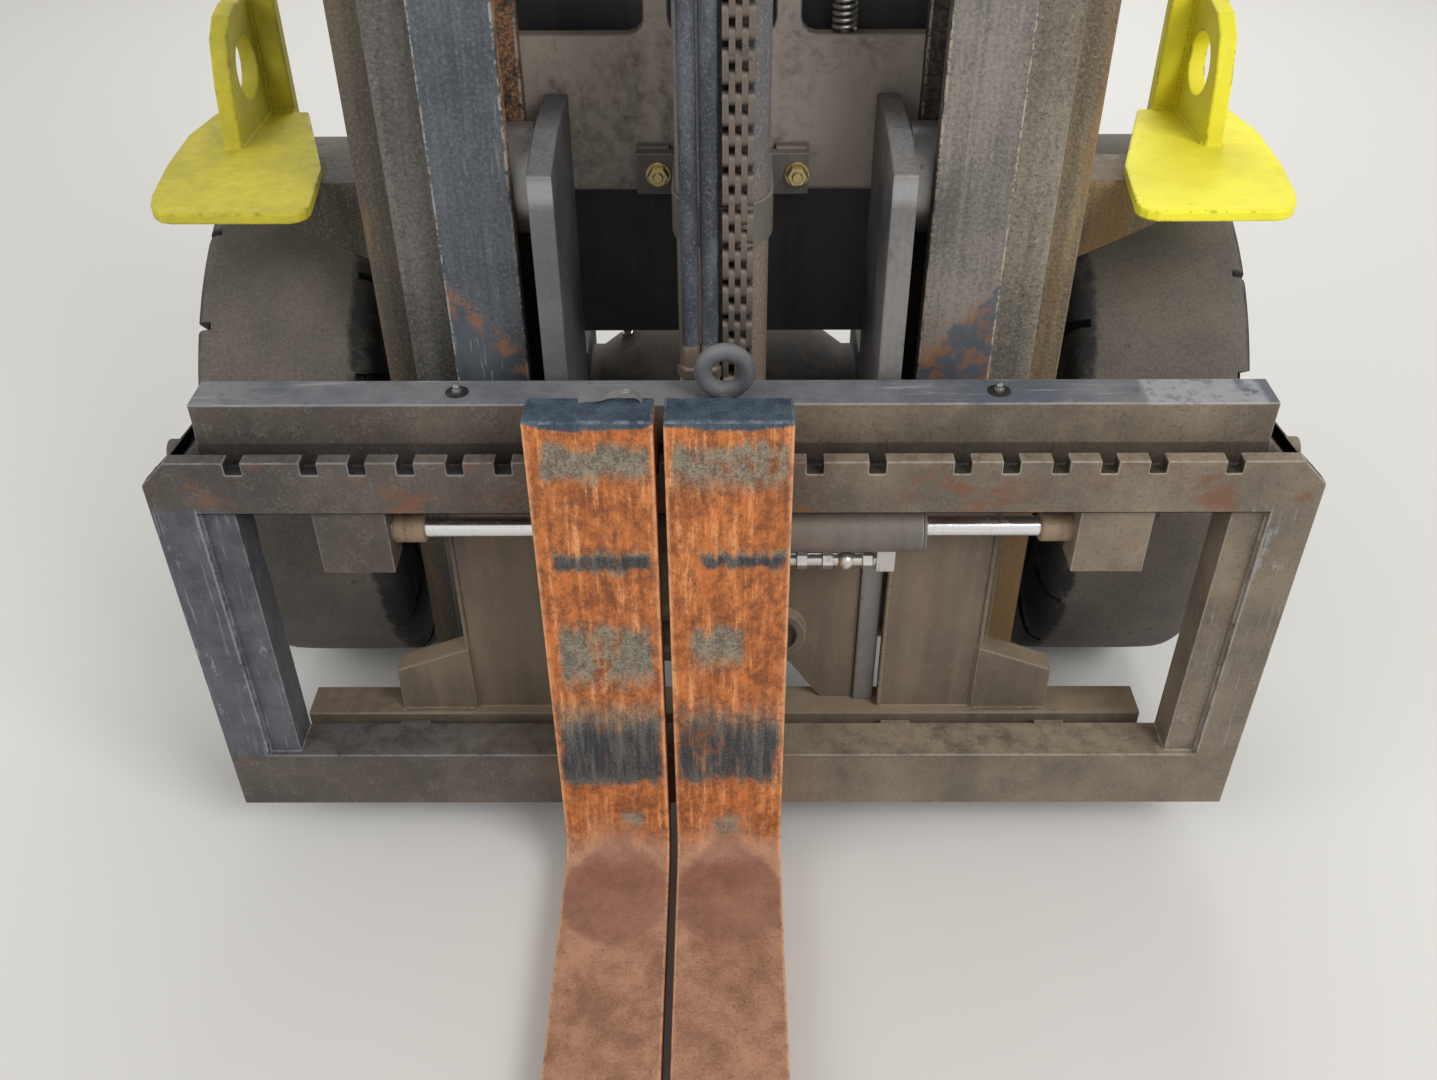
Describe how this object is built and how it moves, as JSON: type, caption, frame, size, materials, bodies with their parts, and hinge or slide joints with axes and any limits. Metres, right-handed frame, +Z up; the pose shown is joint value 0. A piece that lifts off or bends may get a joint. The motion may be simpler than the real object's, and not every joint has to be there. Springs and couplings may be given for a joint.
{
  "type": "forklift front end with mast, fork carriage and drive axle",
  "caption": "Front end of a counterbalance forklift: drive axle on its wheels, tilting telescopic mast with free lift, side shifting fork carriage and yellow lifting lugs.",
  "frame": {"origin": "on the floor, under the middle of the part's outer box, halfway between the tyres' outer faces", "axes": "+X to the right of a viewer in front of the forks, +Y back into the truck, +Z up; the forks point along -Y"},
  "size_m": [1.23, 2.1038, 2.15],
  "materials": {
    "frame_paint": "dusty worn dark paint",
    "mast_paint": "dusty worn dark paint",
    "rail_steel": "rolled steel worn by the rollers, greasy and dusty",
    "fork_rust": "rusted steel with remains of dark paint",
    "lug_yellow": "bright yellow paint, chipped and dirty",
    "rod_chrome": "bright plated rod",
    "barrel_paint": "dark paint",
    "roller_steel": "turned steel",
    "chain_steel": "oiled leaf chain",
    "hose_rubber": "black hose",
    "zinc_steel": "zinc plated",
    "axle_paint": "dark blue paint, dusty",
    "tyre_rubber": "worn dusty rubber",
    "rim_paint": "dusty grey paint",
    "hub_iron": "cast iron",
    "nut_steel": "dull steel, slightly rusted"
  },
  "bodies": {
    "axle": {"axle_housing": "axle_paint", "brake_plates": "hub_iron"},
    "wheel_left": {"tyre_left": "tyre_rubber", "rim_left": "rim_paint", "hub_left": "hub_iron", "wheel_nuts_left": "nut_steel"},
    "wheel_right": {"tyre_right": "tyre_rubber", "rim_right": "rim_paint", "hub_right": "hub_iron", "wheel_nuts_right": "nut_steel"},
    "mast": {"outer_rail_left": "rail_steel", "outer_rail_right": "rail_steel", "outer_cross_plates": "mast_paint", "lift_barrels": "barrel_paint", "outer_rollers": "roller_steel", "lifting_lug_left": "lug_yellow", "lifting_lug_right": "lug_yellow"},
    "mid_mast": {"mid_rail_left": "rail_steel", "mid_rail_right": "rail_steel", "mid_cross_plates": "mast_paint", "mid_rollers": "roller_steel", "lift_rods": "rod_chrome"},
    "inner_mast": {"inner_rail_left": "rail_steel", "inner_rail_right": "rail_steel", "inner_cross_plates": "mast_paint", "inner_rollers": "roller_steel", "free_barrel": "barrel_paint", "cylinder_strap": "zinc_steel", "chain_anchor_high": "mast_paint"},
    "crosshead": {"free_rod": "rod_chrome", "crosshead": "mast_paint", "chain_sheave": "roller_steel", "chain_over_sheave": "chain_steel", "hoses_over_sheave": "hose_rubber"},
    "carriage": {"carriage_frame": "frame_paint", "centre_plate": "frame_paint", "roller_cheek_left": "mast_paint", "roller_cheek_right": "mast_paint", "carriage_rollers": "roller_steel", "chain_run": "chain_steel", "hose_runs": "hose_rubber", "shift_cylinder": "barrel_paint", "shift_pipe": "zinc_steel"},
    "side_shifter": {"shift_frame": "frame_paint", "lower_hooks": "frame_paint", "lifting_eye": "frame_paint", "shift_rod": "rod_chrome"},
    "fork_left": {"fork_left": "fork_rust", "fork_hooks_left": "fork_rust"},
    "fork_right": {"fork_right": "fork_rust", "fork_hooks_right": "fork_rust"}
  },
  "joints": [
    {"name": "wheel_left_spin", "type": "hinge", "parent": "axle", "child": "wheel_left", "pos_m": [-0.506, 0.6984, 0.3535], "axis": [1, 0, 0], "continuous": true},
    {"name": "wheel_right_spin", "type": "hinge", "parent": "axle", "child": "wheel_right", "pos_m": [0.506, 0.6984, 0.3535], "axis": [1, 0, 0], "continuous": true},
    {"name": "mast_tilt", "type": "hinge", "parent": "axle", "child": "mast", "pos_m": [0, 0.6984, 0.3535], "axis": [1, 0, 0], "range_deg": [-10, 6]},
    {"name": "mid_lift", "type": "slide", "parent": "mast", "child": "mid_mast", "axis": [0, 0, 1], "range_m": [0, 1.45]},
    {"name": "inner_lift", "type": "slide", "parent": "mid_mast", "child": "inner_mast", "axis": [0, 0, 1], "range_m": [0, 1.45]},
    {"name": "free_lift", "type": "slide", "parent": "inner_mast", "child": "carriage", "axis": [0, 0, 1], "range_m": [0, 1.25], "deforming": ["chain_run", "hose_runs"]},
    {"name": "crosshead_lift", "type": "slide", "parent": "inner_mast", "child": "crosshead", "axis": [0, 0, 1], "range_m": [0, 0.625]},
    {"name": "side_shift", "type": "slide", "parent": "carriage", "child": "side_shifter", "axis": [1, 0, 0], "range_m": [-0.115, 0.095]},
    {"name": "fork_left_slide", "type": "slide", "parent": "side_shifter", "child": "fork_left", "axis": [1, 0, 0], "range_m": [-0.4, 0]},
    {"name": "fork_right_slide", "type": "slide", "parent": "side_shifter", "child": "fork_right", "axis": [1, 0, 0], "range_m": [0, 0.53]}
  ],
  "couplings": [
    {"joint": "inner_lift", "follows": "mid_lift", "ratio": 1},
    {"joint": "crosshead_lift", "follows": "free_lift", "ratio": 0.5}
  ]
}
